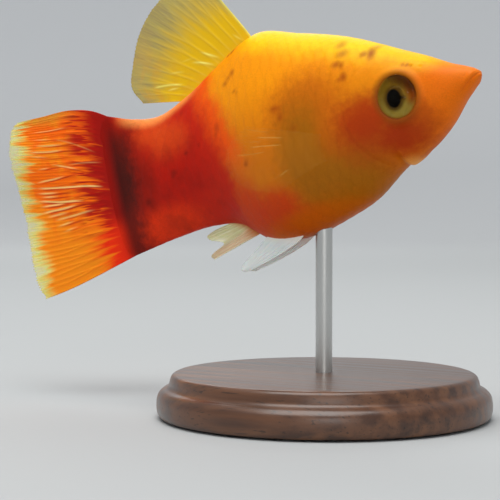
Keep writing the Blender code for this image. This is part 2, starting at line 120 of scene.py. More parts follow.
def toWorld(s, y, h):
    swung = y - pose["swing"] * (np.maximum(s - pose["swingStart"], 0) / pose["swingSpan"]) ** 2
    x = pose["snoutX"] - s * cos(pose["pitch"]) - h * sin(pose["pitch"])
    z = pose["snoutZ"] - s * sin(pose["pitch"]) + h * cos(pose["pitch"])
    return stacked(x, swung, z) * mm


def skinHalf(s, upper):  # from the middle line to the back or the belly: how far, and how round
    reach = np.where(upper, lines["back"](s), lines["belly"](s)) - lines["middle"](s)
    return reach, np.where(upper, lines["backRound"](s), lines["bellyRound"](s))


def skinPoint(s, angle):  # angle 0 is the left side, a quarter turn the back
    up, out = np.sin(angle), np.cos(angle)
    reach, power = skinHalf(s, up >= 0)
    y = np.sign(out) * lines["width"](s) * np.abs(out) ** (2 / power)
    return y, lines["middle"](s) + reach * np.abs(up) ** (2 / power)


def skinWidth(s, h):  # how far the skin stands out from the mid plane
    above = h - lines["middle"](s)
    reach, power = skinHalf(s, above >= 0)
    share = np.clip(np.abs(above / reach), 0, 1)
    return lines["width"](s) * (1 - share**power) ** (1 / power)


def bellyHeight(s, y):
    reach, power = skinHalf(s, False)
    share = np.clip(np.abs(y) / lines["width"](s), 0, 1)
    return lines["middle"](s) + reach * (1 - share**power) ** (1 / power)


# Meshes and pieces

def gridFaces(rows, columns, closed):
    r, c = np.meshgrid(np.arange(rows - 1), np.arange(columns if closed else columns - 1), indexing="ij")
    after = (c + 1) % columns
    below, above = r * columns, (r + 1) * columns
    return stacked(below + c, below + after, above + after, above + c).reshape(-1, 4)


def fanFaces(tip, first, count, inward=False):  # triangles from a tip to a closed ring
    ring = [(first + n, first + (n + 1) % count) for n in range(count)]
    return [(tip, b, a) if inward else (tip, a, b) for a, b in ring]


def makeMesh(name, points, faces, marks=None, uv=None):  # marks are values for each point, by name
    mesh = bpy.data.meshes.new(name)
    mesh.from_pydata(points.reshape(-1, 3).tolist(), [], [list(f) for f in faces])
    for label, values in (marks or {}).items():
        values = np.asarray(values, float)
        kind = "FLOAT_VECTOR" if values.ndim > 1 else "FLOAT"
        layer = mesh.attributes.new(label, kind, "POINT")
        layer.data.foreach_set("vector" if values.ndim > 1 else "value", values.ravel())
    if uv is not None:
        layer = mesh.uv_layers.new(name="skinMap")
        corners = np.empty(len(mesh.loops), int)
        mesh.loops.foreach_get("vertex_index", corners)
        layer.data.foreach_set("uv", uv[corners].ravel())
    mesh.validate()
    build = bmesh.new()
    build.from_mesh(mesh)
    bmesh.ops.recalc_face_normals(build, faces=build.faces)
    build.to_mesh(mesh)
    build.free()
    mesh.shade_smooth()
    return mesh


def tubeMesh(name, points, tips, marks=None, uv=None):  # rings of points, closed by a tip at each end
    rings, around = points.shape[:2]
    count = rings * around
    faces = gridFaces(rings, around, True).tolist()
    faces += fanFaces(count, 0, around, inward=True) + fanFaces(count + 1, count - around, around)
    return makeMesh(name, np.concatenate([points.reshape(-1, 3), tips]), faces, marks, uv)


def turned(radius, height, steps):  # points of an outline turned round the upright axis
    turn = 2 * pi * np.arange(steps) / steps
    return stacked(radius[:, None] * np.cos(turn), radius[:, None] * np.sin(turn), height[:, None])


def addObject(name, data):
    made = bpy.data.objects.new(name, data)
    bpy.context.scene.collection.objects.link(made)
    return made


def addPiece(mesh, surface, slotName, *nodes):  # a visible piece in place of these nodes
    piece = addObject(mesh.name, mesh)
    mesh.materials.append(surface)
    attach(piece, "root")
    if nodes:
        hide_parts(*nodes)


def gridNormals(points, closed):  # unit normals of a grid of world points
    along = np.gradient(points, axis=0)
    if closed:
        around = np.roll(points, -1, axis=1) - np.roll(points, 1, axis=1)
    else:
        around = np.gradient(points, axis=1)
    normal = np.cross(around, along)
    length = np.linalg.norm(normal, axis=-1, keepdims=True)
    return normal / np.maximum(length, 1e-12)


# Node helpers, which all add to the material or group begun last

current = {}


class Wire:  # a node's output; arithmetic on it adds the nodes that work it out
    def __init__(self, node, output=0):
        self.socket = node.outputs[output]

    def __add__(self, other):
        return math("ADD", self, other)

    def __sub__(self, other):
        return math("SUBTRACT", self, other)

    def __mul__(self, other):
        return math("MULTIPLY", self, other)

    def __abs__(self):
        return math("ABSOLUTE", self)


def feed(socket, value):
    if isinstance(value, Wire):
        current["tree"].links.new(value.socket, socket)
    else:
        socket.default_value = value


def addNode(kind, inputs, **settings):  # inputs by name or number
    node = current["tree"].nodes.new("ShaderNode" + kind)
    for name, value in settings.items():
        setattr(node, name, value)
    for key, value in inputs.items():
        feed(node.inputs[key], value)
    return node


def math(operation, a, b=0.0):
    return Wire(addNode("Math", {0: a, 1: b}, operation=operation))


def vector(operation, a, b=(0.0, 0.0, 0.0)):
    node = addNode("VectorMath", {0: a, 1: b}, operation=operation)
    return Wire(node, "Value" if operation == "LENGTH" else "Vector")


def split(place):
    node = addNode("SeparateXYZ", {0: place})
    return [Wire(node, part) for part in "XYZ"]


def combine(x, y):
    return Wire(addNode("CombineXYZ", {"X": x, "Y": y}))


def remap(value, low, high, toLow=0.0, toHigh=1.0):
    inputs = dict(enumerate((value, low, high, toLow, toHigh)))
    return Wire(addNode("MapRange", inputs, interpolation_type="SMOOTHSTEP"))


def mix(share, first, second, kind="MIX"):
    return Wire(addNode("Mix", {0: share, 6: first, 7: second}, data_type="RGBA", blend_type=kind), 2)


def paint(colour, *layers):  # lays each (share, colour) over those before it
    for share, tone in layers:
        colour = mix(share, colour, tone)
    return colour


def noise(place, scale, detail=3.0, stretch=None):
    if stretch:
        place = vector("MULTIPLY", place, stretch)
    return Wire(addNode("TexNoise", {"Vector": place, "Scale": scale, "Detail": detail}))


def bump(height, distance, strength):
    return Wire(addNode("Bump", {"Height": height, "Distance": distance, "Strength": strength}))


def attribute(name, output="Fac"):
    return Wire(addNode("Attribute", {}, attribute_name=name), output)


def objectPlace():
    return Wire(addNode("TexCoord", {}), "Object")


def rgb(r, g, b):  # screen colour to linear
    def channel(c):
        c /= 255
        return c / 12.92 if c <= 0.04045 else ((c + 0.055) / 1.055) ** 2.4
    return (channel(r), channel(g), channel(b), 1.0)


def newMaterial(name):
    made = bpy.data.materials.new(name)
    made.use_nodes = True
    current["tree"] = made.node_tree
    return made


def dress(made, **values):  # values and wires for a material's inputs, with _ for each space
    inputs = made.node_tree.nodes["Principled BSDF"].inputs
    for name, value in dict(values, Coat_Roughness=0.2, Subsurface_Scale=0.001).items():
        feed(inputs[name.replace("_", " ")], value)
    return made


def newGroup(name, inputs, outputs):  # inputs and outputs as {kind: their names}
    group = bpy.data.node_groups.new(name, "ShaderNodeTree")
    for direction, sockets in (("INPUT", inputs), ("OUTPUT", outputs)):
        for kind, labels in sockets.items():
            for label in labels.split():
                group.interface.new_socket(name=label, in_out=direction, socket_type="NodeSocket" + kind)
    current["tree"] = group
    inside = group.nodes.new("NodeGroupInput")
    values = {socket.name: Wire(inside, socket.name) for socket in inside.outputs if socket.name}
    return group, values, group.nodes.new("NodeGroupOutput").inputs


def placeGroup(group, values):
    node = addNode("Group", values, node_tree=group)
    return {output.name: Wire(node, output.name) for output in node.outputs}


def softPatchGroup():  # 1 inside an ellipse of body places, fading out past its edge
    inputs = {"Vector": "Place Centre Size", "Float": "Ragged Noise"}
    group, inside, result = newGroup("softPatch", inputs, {"Float": "Mask"})
    away = vector("DIVIDE", vector("SUBTRACT", inside["Place"], inside["Centre"]), inside["Size"])
    reach = vector("LENGTH", away) + (inside["Noise"] - 0.5) * inside["Ragged"]
    feed(result["Mask"], remap(reach, 0.35, 1.25, 1.0, 0.0))
    return group


softPatch = softPatchGroup()


def patch(place, unevenness, s, h, length, height):
    where = {"Centre": (s, 0.0, h), "Size": (length, 1000.0, height)}
    return placeGroup(softPatch, {"Place": place, "Noise": unevenness, "Ragged": 0.5, **where})["Mask"]


# Camera, at the photograph's angle

cameraSet = {
    "azimuth": radians(33.0),
    "elevation": radians(2.0),
    "distance": 0.140,
    "aim": (-0.007895, 0.0, 0.014788),  # what the middle of the picture shows
    "focalPixels": 1518.0,
    "picturePixels": 500,
}


def makeCamera():
    a, e = cameraSet["azimuth"], cameraSet["elevation"]
    back = Vector((sin(a) * cos(e), -cos(a) * cos(e), sin(e)))
    data = bpy.data.cameras.new("camera")
    data.sensor_width = 36.0
    data.lens = cameraSet["focalPixels"] / cameraSet["picturePixels"] * data.sensor_width
    data.clip_start = 0.005
    camera = addObject("camera", data)
    camera.location = Vector(cameraSet["aim"]) + back * cameraSet["distance"]
    camera.rotation_euler = back.to_track_quat("Z", "Y").to_euler()
    bpy.context.scene.camera = camera


# Skin: one surface over head, gill covers, trunk and tail stem

skinSet = {
    "around": 256,
    "snoutLength": 2.0,
    "snoutRings": 56,  # over the snout's length
    "bodyRings": 290,
    "capRings": 8,
    "tipBulge": 0.14,
    "gapePitch": radians(38.0),
    "gapeHeight": -0.05,
    "gapeLength": 1.5,
    "lipSize": 0.07,
    "gapeDepth": 0.05,
    "chinDepth": 0.03,
    "nostrils": [(4.2, 1.72), (4.95, 1.98)],
    "nostrilDepth": 0.12,
    "scaleLength": 1.08,
    "scaleRows": 28,  # round the whole body
    "scaleHeight": 0.034,
    "gillEdge": (11.3, -1.0),
    "gillRaise": 0.035,
    "gillGroove": 0.03,
    "throatFold": 0.24,
}

eyeSet = {
    "s": 6.43,
    "h": -0.37,
    "toeIn": radians(-3.0),
    "radius": 1.88,
    "narrow": 0.915,  # its width as a share of its height
    "pupil": 0.385,  # share of the radius
    "pupilPlace": (-0.13, -0.06),  # behind the eye's middle and below it
    "pointTurn": 5.95,  # the pupil's small point in front
    "pointWidth": 0.28,
    "pointReach": 0.11,
    "irisHeight": 0.30,
    "irisSink": 0.10,
    "folds": 37,
    "corneaHeight": 0.50,
    "corneaSink": 0.03,
    "corneaThick": 0.045,
    "socketDepth": 0.6,
    "around": 96,
    "irisRings": 63,
    "corneaRings": 39,
}


def skinOut(s, h, side):  # the direction out of the skin, in body places
    step = 0.1
    slopeS = (skinWidth(s + step, h) - skinWidth(s - step, h)) / (2 * step)
    slopeH = (skinWidth(s, h + step) - skinWidth(s, h - step)) / (2 * step)
    return Vector((-float(slopeS), side, -float(slopeH))).normalized()


def eyeFrame(side):  # world centre on the skin, and the directions out, forward and up
    s, h = eyeSet["s"], eyeSet["h"]
    out = Matrix.Rotation(side * eyeSet["toeIn"], 3, "Z") @ skinOut(s, h, side)
    skin = Vector((s, side * float(skinWidth(s, h)), h))
    centre = Vector(toWorld(*skin))
    tip = Vector(toWorld(*(skin + out)))
    out = (tip - centre).normalized()
    ahead = Vector((cos(pose["pitch"]), 0, sin(pose["pitch"])))
    ahead = (ahead - out * ahead.dot(out)).normalized()
    return centre, out, ahead, out.cross(ahead) * side * -1


def eyeShell(look, flat, turn, lift):  # world points of a disc in front of the eye's middle
    centre, out, ahead, up = (np.array(v) for v in look)
    places = stacked(flat * np.cos(turn) * eyeSet["narrow"], flat * np.sin(turn), lift)
    return centre + mm * (places @ np.array([ahead, up, out]))


def scaleField(p, q):  # p along the body and q round it, in scales: height and nearness to a scale's rim
    best = np.full(np.shape(p), -9.0)
    rim = np.zeros(np.shape(p))
    for row in (-1, 0, 1, 2):
        centreQ = np.floor(q) + row
        offset = 0.5 * np.mod(centreQ, 2)
        for step in (-1, 0, 1):
            u = p - (np.floor(p - offset) + offset + step)
            radius = np.hypot(u, (q - centreQ) / 1.05)
            take = (radius < 1.0) & (u > best)
            best, rim = np.where(take, u, best), np.where(take, radius, rim)
    return np.clip(best, 0, 1), rise(rim, 0.78, 0.97)


def skinGrid():  # body places of the skin's points, ring by ring, and each column's turn
    k = skinSet
    snout = k["snoutLength"]
    front = snout * (np.arange(k["snoutRings"]) / k["snoutRings"]) ** 1.15
    s = np.concatenate([front, np.linspace(snout, skinEnd, k["bodyRings"])])[:, None]
    # the angle is spread so that the points are even round a tall section
    turn = 2 * pi * np.arange(k["around"]) / k["around"]
    y, h = skinPoint(s, (turn + 0.16 * np.sin(2 * turn))[None, :])
    share = np.sqrt(1 - np.linspace(0.96, 0, k["capRings"] + 1)[:-1])[:, None]
    s = np.concatenate([-k["tipBulge"] * (1 - share**2), s]) + 0 * turn
    middle = (lines["back"](0) + lines["belly"](0)) / 2
    return s, np.concatenate([y[:1] * share, y]), np.concatenate([blend(share, middle, h[:1]), h]), turn


def skinRelief(s, h, turn):  # how far the skin is raised, and marks for its colours
    k = skinSet
    gape = (h - k["gapeHeight"]) * cos(k["gapePitch"]) + s * sin(k["gapePitch"])
    mouth = rise(-s, -k["gapeLength"] - 0.25, -k["gapeLength"] + 0.35)
    lips = hump(np.abs(gape) - 0.26, 0.17) * (1 - 0.5 * rise(s, 0.4, 1.5))
    lift = mouth * (k["lipSize"] * lips - k["gapeDepth"] * hump(gape, 0.06))
    lift -= k["chinDepth"] * hump(gape + 0.75, 0.12) * rise(-s, -1.5, -0.6)
    for ns, nh in k["nostrils"]:
        away = np.hypot(s - ns, h - nh)
        lift += 0.025 * hump(away - 0.2, 0.09) - k["nostrilDepth"] * hump(away, 0.12)

    # gill cover: raised towards its free edge, with a groove behind it
    edgeS, edgeH = k["gillEdge"]
    above = h - edgeH
    behind = s - edgeS + np.where(above > 0, 0.15, 0.105) * above**2
    cover = rise(h, -6.6, -5.4) * rise(-h, -3.6, -2.4)
    lift += cover * k["gillRaise"] * rise(behind, -1.6, 0.0) * (behind <= 0)
    lift -= cover * k["gillGroove"] * np.exp(-np.maximum(behind, 0) / 0.28) * (behind > 0)
    seam = behind + 2.55 - 0.02 * above**2
    lift -= 0.012 * hump(seam, 0.18) * rise(h, -5.8, -4.6) * rise(-h, -1.6, -0.4)
    # fold of the gill membrane under the throat
    under = rise(-h, 4.4, 5.3)
    fold = rise(s, 5.6, 7.4) * (1 - rise(s, 7.7, 8.1))
    lift += (k["throatFold"] * fold - 0.05 * hump(s - 8.4, 0.3)) * under

    # scales, fading out over the face and the tail fin's root
    q = np.broadcast_to(turn / (2 * pi) * k["scaleRows"], s.shape)
    scales, rim = scaleField(s / k["scaleLength"], q)
    body = rise(behind, 0.05, 0.5) * (1 - rise(s, 35.0, 37.8))
    nape = rise(s, 5.0, 8.0) * rise(h, 2.0, 3.2) * 0.7
    cheek = 0.35 * rise(s, 8.8, 9.6) * (behind < -0.1)
    scaled = np.maximum(np.maximum(body, nape), cheek)
    lift += k["scaleHeight"] * (scales - 0.3) * scaled
    return lift, {
        "scaleRim": rim * scaled,
        "gillLine": cover * hump(behind - 0.05, 0.14),
        "lipLine": mouth * hump(gape, 0.09),
        "throatFold": fold * rise(s, 5.9, 7.0) * rise(-h, 4.9, 5.8),
        "backRim": rise(h, lines["back"](s) - 1.3, lines["back"](s) - 0.2),
    }


def setSockets(points):  # sinks the eyes' sockets, with a level ring of skin round each, and returns a mask of painted shade round each eye
    socketShade = np.zeros(points.shape[:2])
    radius = eyeSet["radius"]
    for side in (1, -1):
        centre, out, ahead, up = (np.array(v) for v in eyeFrame(side))
        away = points - centre
        level = away @ out / mm
        flat = np.hypot(away @ ahead / eyeSet["narrow"], away @ up) / mm
        near = level > -2.2
        bowl = (1 - rise(flat, radius - 0.42, radius + 0.06)) * near
        ring = (1 - rise(flat, radius + 0.1, radius + 0.9)) * near
        push = (ring * (0.02 - level) - eyeSet["socketDepth"] * bowl) * mm
        # painted shade: strongest at the eye's rim, fading out over the skin round it
        socketShade = np.maximum(socketShade, (1 - rise(flat, radius, radius + 0.75)) * near)
        points = points + push[..., None] * out
    return points, socketShade


def makeSkin():
    s, y, h, turn = skinGrid()
    lift, marks = skinRelief(s, h, turn)
    points = toWorld(s, y, h)
    normals = gridNormals(points, True)
    ring = skinSet["snoutRings"]  # any full ring shows which way is out
    normals *= np.sign(normals[ring, 0] @ (points[ring, 0] - points[ring].mean(0)))
    points, marks["eyeSocketShade"] = setSockets(points + normals * (lift * mm)[..., None])
    marks["speckle"] = speckles(s, y, h)

    def withTips(values, first=0, last=0):
        return np.concatenate([values.reshape(-1), [first, last]])

    marks = {name: withTips(values) for name, values in marks.items()}
    marks["bodyPlace"] = stacked(withTips(s, -skinSet["tipBulge"], skinEnd), withTips(y), withTips(h))
    uv = stacked(withTips(s / 40, 0, 1), withTips(turn / (2 * pi) + 0 * s, 0.5, 0.5))
    mesh = tubeMesh("skin", points, [points[0].mean(0), points[-1].mean(0)], marks, uv)
    nodes = ("head", "gill_cover_left", "gill_cover_right", "gill_membrane", "trunk", "tail_stem")
    addPiece(mesh, skinMaterial(), "flank_skin", *nodes)


# Small dark spots on the right flank (s, h, size, strength), from the nape back to the tail stem
spots = [
    (11.07, 5.63, 0.56, 0.6), (10.82, 4.7, 0.60, 0.7), (11.3, 3.85, 0.50, 0.85), (10.9, 3.7, 0.40, 0.8),
    (10.74, 2.56, 0.50, 0.85), (11.1, 2.4, 0.36, 0.6), (8.3, 4.05, 0.64, 1.0), (8.9, 4.12, 0.48, 0.8),
    (8.1, 4.5, 0.44, 0.6), (5.26, 2.11, 0.24, 0.7), (5.6, 2.24, 0.24, 0.6), (4.95, 1.95, 0.18, 0.5),
    (22.9, 8.75, 0.42, 0.9), (23.4, 8.5, 0.30, 0.7), (22.3, 6.35, 0.42, 0.7), (22.75, 6.0, 0.34, 0.6),
    (23.2, 5.6, 0.40, 0.65), (22.0, 4.5, 0.24, 0.6), (21.7, 4.15, 0.22, 0.5), (17.62, 1.59, 0.50, 0.75),
    (17.2, 1.5, 0.36, 0.5), (17.12, 0.72, 0.40, 0.6), (16.0, -0.6, 0.46, 0.35), (24.69, 1.78, 0.50, 0.45),
    (24.9, 1.3, 0.36, 0.4), (21.68, -2.33, 0.32, 0.8), (21.4, -2.1, 0.24, 0.4), (28.93, 0.61, 0.26, 0.75),
    (30.78, -0.83, 0.42, 0.6), (31.0, -1.1, 0.30, 0.5), (34.57, -2.69, 0.44, 0.7), (34.3, -3.1, 0.26, 0.4),
    (27.18, 0.91, 0.22, 0.5), (29.2, 4.5, 0.36, 0.3), (36.3, 0.4, 0.16, 0.9),
]
spotSeed = 7
leftSpots = 24  # the left side has its own, scattered the same way


def speckles(s, y, h):
    rng = np.random.default_rng(spotSeed)
    mark = np.zeros(s.shape)

    def add(away, size, strength, side):
        return np.maximum(mark, strength * (1 - rise(away, size * 0.05, size * 1.3)) * side)

    for spotS, spotH, size, strength in spots:
        spread = rng.uniform(0.8, 1.25)
        mark = add(np.hypot((s - spotS) / spread, (h - spotH) * spread), size, strength, y < 0.4)
    for _ in range(leftSpots):
        spotS, share, size = rng.uniform(8, 34), rng.uniform(-0.5, 0.85), rng.uniform(0.22, 0.5)
        spotH = share * (lines["back"](spotS) if share > 0 else -lines["belly"](spotS))
        mark = add(np.hypot(s - spotS, h - spotH), size, rng.uniform(0.4, 0.9), y > 0.4)
    return mark


skinColours = {
    "backGold": rgb(255, 206, 0),
    "upperFlank": rgb(250, 152, 0),
    # olive of the gut showing through, partly painted shade of the lower flank
    "midFlank": rgb(214, 116, 6),
    "gutAndShadeOlive": rgb(166, 98, 2),
    "bellyRust": rgb(206, 98, 4),
    "bellyRed": rgb(208, 56, 6),
    "cheekRed": rgb(170, 34, 0),
    "cheekRust": rgb(178, 66, 0),
    "snoutOrange": rgb(236, 112, 0),
    "socketShadeBrown": rgb(124, 66, 6),
    "tailOrange": rgb(240, 84, 2),
    "tailRed": rgb(196, 32, 4),
    "tailDeep": rgb(184, 20, 2),
    "tailLight": rgb(222, 80, 20),
    "tailGlow": rgb(226, 52, 6),
    "maroon": rgb(112, 16, 4),
    "bar": rgb(50, 8, 2),
    "spot": rgb(146, 34, 0),
    "redSpot": rgb(88, 14, 2),
    "lipHighlight": rgb(250, 150, 60),
    "throatPale": rgb(255, 176, 84),
    "rimPink": rgb(255, 152, 74),
    "finRoot": rgb(148, 12, 0),
}

# Soft areas of colour: s, h, reach along s and h, colour and strength
skinAreas = [
    (14.6, 1.4, 4.2, 3.4, "cheekRust", 0.52),
    # olive over the gut: partly the gut showing through, partly painted shade on the lower flank
    (15.4, -3.2, 3.4, 6.0, "gutAndShadeOlive", 0.95),
    (11.8, -5.2, 3.6, 3.6, "gutAndShadeOlive", 0.9),
    (12.4, -1.6, 1.9, 2.8, "bellyRust", 0.45),
    (19.9, -6.9, 3.0, 2.2, "bellyRed", 0.85),
    (22.7, -6.2, 1.9, 3.2, "bellyRed", 0.85),
    (18.0, -8.3, 3.2, 1.3, "bellyRed", 0.55),
    (16.4, -8.4, 5.0, 1.3, "bellyRust", 0.75),
    (8.6, -2.6, 4.8, 3.4, "cheekRust", 0.8),
    (9.6, -1.5, 2.8, 2.4, "cheekRed", 0.62),
    (6.7, -3.7, 2.5, 1.5, "cheekRed", 0.7),
    (5.0, -2.6, 1.8, 1.6, "cheekRust", 0.5),
    (33.2, 4.0, 2.4, 1.8, "tailLight", 0.55),
    (30.8, 2.2, 2.7, 2.4, "tailLight", 0.55),
    (29.8, -1.4, 4.4, 3.4, "tailDeep", 0.85),
    (33.6, -1.6, 3.0, 3.2, "tailDeep", 0.6),
    (34.9, -0.9, 2.3, 3.9, "maroon", 0.5),
    (33.0, -5.4, 4.6, 2.1, "tailGlow", 0.9),
]
barEnds = 0.84  # the dark bar's strength above and below


def skinMaterial():
    made = newMaterial("platySkin")
    c = skinColours
    place = attribute("bodyPlace", "Vector")
    s, _, h = split(place)
    fine = noise(place, 1.7, 5.0)
    grain = noise(place, 11.0)
    wander = (noise(place, 0.42, 4.0) - 0.5) * 1.8
    ragged = (fine - 0.5) * 1.2
    height = h + wander + ragged * 0.4

    # gold over the nape and back, fading towards the snout and the tail
    gold = remap(height - (s - 5.0) * 0.38, 0.9, 3.9) * remap(s, 0.8, 4.5) * remap(s, 20.5, 23.0, 1.0, 0.0)
    # the tail's red begins further forward low down, through a band of orange red
    redLine = s - math("MAXIMUM", h, -2.5) * 0.48 + wander + ragged
    mottled = remap(noise(place, 0.6), 0.42, 0.72) * remap(redLine, 24.5, 28.0) * remap(h, 4.0, 1.5)
    # the tail fin's root, and the dark bar in front of it
    lowShare = remap(h, -2.6, -4.9) * remap(s, 38.05, 40.54, 0.4, 0.9)
    barPlace = s + h * h * 0.012 + math("MINIMUM", h, 0.0) * 0.16 + ragged * 1.7
    bar = remap(barPlace, 34.0, 36.9) * remap(s, 39.3, 37.6) * remap(h, 6.6, 3.6, 0.1, 1.0)
    bar = bar * remap(grain, 0.2, 0.7, 1.0, 0.82) * remap(abs(h), 1.0, 4.0, 1.0, barEnds)
    colour = paint(
        c["midFlank"],
        # lighter towards the back and darker towards the belly: partly the fish's own colours, partly
        # painted light from above and painted shade underneath
        (remap(height, -2.0, 5.4), c["upperFlank"]),
        (gold, c["backGold"]),
        (remap(height, -4.2, -8.2), c["bellyRust"]),
        (remap(s, 7.5, 3.0) * remap(h, 2.2, 0.4), c["snoutOrange"]),
        (remap(redLine, 21.2, 23.8) * remap(h, -4.0, 0.0, 0.1, 1.0), c["tailOrange"]),
        (remap(redLine, 23.4, 26.2), c["tailRed"]),
        *((patch(place, fine, *area[:4]) * area[5], c[area[4]]) for area in skinAreas),
        (mottled * 0.3, c["maroon"]),
        (attribute("backRim") * remap(s, 26.0, 29.5) * remap(s, 38.0, 35.5) * 0.9, c["rimPink"]),
        (remap(s, 36.8, 38.2), mix(lowShare, c["finRoot"], tailFinSet["lowRed"])),
        (bar, c["bar"]),
        (attribute("speckle") * 0.8, mix(remap(redLine, 21.5, 24.5), c["spot"], c["redSpot"])),
        # painted shade round the eye sockets
        (attribute("eyeSocketShade") * 0.7, c["socketShadeBrown"]),
        # painted shade in the groove behind the gill cover's edge and in the mouth's slit
        (attribute("gillLine") * 0.04, c["tailDeep"]),
        (attribute("lipLine") * 0.08, c["tailDeep"]),
        (attribute("throatFold") * 0.8, c["throatPale"]),
        # painted highlight along the upper lip near the snout's tip
        (remap(s, 3.6, 0.3) * remap(h, -0.4, 0.5) * 0.35, c["lipHighlight"]),
    )
    shaded = mix(1.0, colour, (0.45, 0.30, 0.22, 1.0), "MULTIPLY")
    colour = mix(attribute("scaleRim") * 0.08, colour, shaded)
    toned = addNode("HueSaturation", {"Value": remap(grain, 0.3, 0.7, 0.92, 1.06), "Color": colour})
    return dress(
        made, Base_Color=Wire(toned), Roughness=remap(grain, 0.2, 0.8, 0.38, 0.52),
        Normal=bump(noise(place, 26.0, 2.0), 0.00002, 0.35), Subsurface_Weight=0.06, Specular_IOR_Level=0.12,
    )


# Eyes

def makeEye(side, name, iris, cornea):
    k = eyeSet
    look = eyeFrame(side)
    turn = 2 * pi * np.arange(k["around"]) / k["around"]
    radius = k["radius"] + 0.02

    # the iris: a low bowl with fine folds, whose rim goes into the socket
    r = np.linspace(0, 1, k["irisRings"] + 1)[1:, None]
    bowl = k["irisHeight"] * np.sqrt(np.clip(1 - r**2, 0, 1)) - k["irisSink"]
    bowl = bowl - 0.10 * rise(r, 0.40, 0.47) * (1 - rise(r, 0.55, 0.95))
    bowl = bowl + 0.012 * np.sin(turn * k["folds"]) * rise(r, 0.45, 0.6) * (1 - rise(r, 0.8, 0.95))
    bowl = bowl - 0.20 * rise(r, 0.975, 1.0)
    # the pupil is a little taller than wide, sits behind the middle and has a small point in front
    pupilX, pupilY = k["pupilPlace"]
    x, y = r * np.cos(turn), r * np.sin(turn)
    fromPupil = np.hypot((x - pupilX) / 0.94, (y - pupilY) / 1.06)
    fromPupil -= k["pointReach"] * hump(turn - k["pointTurn"], k["pointWidth"]) * rise(r, 0.15, 0.4)
    place = np.concatenate([stacked(x, fromPupil, y).reshape(-1, 3), [[0, 0.14, 0], [1, 1, 1]]])
    tips = [eyeShell(look, 0, 0, lift) for lift in (k["irisHeight"] - k["irisSink"], -0.9)]
    mesh = tubeMesh(name, eyeShell(look, r * radius, turn, bowl), tips, {"eyePlace": place})
    addPiece(mesh, iris, "eye", name)

    # the clear cornea over it, from its top out to the rim and back inside
    r = np.linspace(0, 1, k["corneaRings"] + 1)[1:, None]
    r = np.concatenate([r, r[::-1]])
    inset = k["corneaThick"] * (np.arange(len(r)) >= k["corneaRings"])[:, None]
    flat = r * (radius + 0.05) * (1 - inset / radius)
    top = k["corneaHeight"] - k["corneaSink"]
    points = eyeShell(look, flat, turn, top - k["corneaHeight"] * r**2 - inset)
    tips = [eyeShell(look, 0, 0, lift) for lift in (top, top - k["corneaThick"])]
    addPiece(tubeMesh("cornea_" + name[4:], points, tips), cornea, "eye")


def irisMaterial():
    made = newMaterial("iris")
    place = attribute("eyePlace", "Vector")
    fore, fromPupil, upDown = split(place)
    radiate = noise(place, 5.0, 4.0, (1.0, 0.15, 1.0))
    mottled = noise(place, 3.0, 5.0)
    # painted shade under the socket's upper rim: the iris darkens towards its top and front
    paintedShade = upDown + fore * 0.75 + (mottled - 0.5) * 0.5
    rim = remap(vector("LENGTH", combine(fore, upDown)), 0.84, 1.0)
    pupil = eyeSet["pupil"]
    colour = paint(
        rgb(112, 84, 14),
        (remap(upDown, 0.6, -0.85), rgb(150, 128, 52)),
        (remap(radiate, 0.45, 0.7) * 0.35, rgb(152, 112, 26)),
        (remap(fore, 0.3, 0.8) * remap(upDown, -0.8, -0.2) * 0.9, rgb(138, 54, 0)),
        (remap(paintedShade, 0.25, 1.0) * 0.9, rgb(66, 26, 0)),
        (remap(mottled, 0.5, 0.8) * 0.4, rgb(78, 58, 12)),
        (remap(fromPupil, 0.62, 0.44) * 0.85, rgb(74, 46, 8)),
        (rim * remap(paintedShade, 0.8, 0.2) * 0.75, rgb(150, 84, 8)),
        (remap(fromPupil, pupil + 0.045, pupil - 0.03), rgb(5, 3, 2)),
    )
    rough = remap(radiate, 0.3, 0.7, 0.34, 0.5)
    return dress(made, Base_Color=colour, Roughness=rough, Specular_IOR_Level=0.06)


def corneaMaterial():
    clear = (1.0, 1.0, 0.98, 1.0)
    return dress(newMaterial("cornea"), Roughness=0.03, Transmission_Weight=1.0, IOR=1.05, Base_Color=clear)


# Fins: thin sheets with branching rays as ridges. across runs from the first ray to the last,
# along from the root to the edge.

def finPatternGroup():  # uneven streaks along the rays, for every fin
    outputs = {"Float": "streak dash patchy ragged"}
    group, inside, result = newGroup("finPattern", {"Vector": "Place", "Float": "Streaks"}, outputs)
    place, streaks = inside["Place"], inside["Streaks"]
    streak = noise(place, 1.0, 4.0, combine(streaks, 1.6))
    feed(result["streak"], streak)
    feed(result["dash"], noise(place, 1.0, 2.0, combine(streaks * 1.3, 3.6)))
    feed(result["patchy"], noise(place, 5.0, 3.0, (1.0, 1.0, 0.0)))
    feed(result["ragged"], split(place)[1] + (streak - 0.5) * 0.5)
    return group


def paleFinGroup():  # thin clear fin, from its root's colour to painted highlights on the rays and along its edges
    inputs = {
        "Color": "Root Blade Bright",
        "Float": "Along Edge Pale Ray RayShare RootStart RootEnd RootAlpha EdgeAlpha BrightAlpha",
    }
    group, value, result = newGroup("paleFin", inputs, {"Color": "Colour", "Float": "Alpha"})
    rooted = remap(value["Along"], value["RootStart"], value["RootEnd"])
    rays = remap(value["Ray"], 0.4, 0.95) * value["RayShare"]
    lit = math("MAXIMUM", math("MAXIMUM", value["Pale"], rays), value["Edge"]) * rooted
    feed(result["Colour"], paint(value["Root"], (rooted, value["Blade"]), (lit * 0.85, value["Bright"])))
    alpha = remap(value["Along"], 0.1, 1.0, value["RootAlpha"], value["EdgeAlpha"])
    feed(result["Alpha"], math("MAXIMUM", alpha, lit * value["BrightAlpha"]))
    return group


finPattern, paleFin = finPatternGroup(), paleFinGroup()


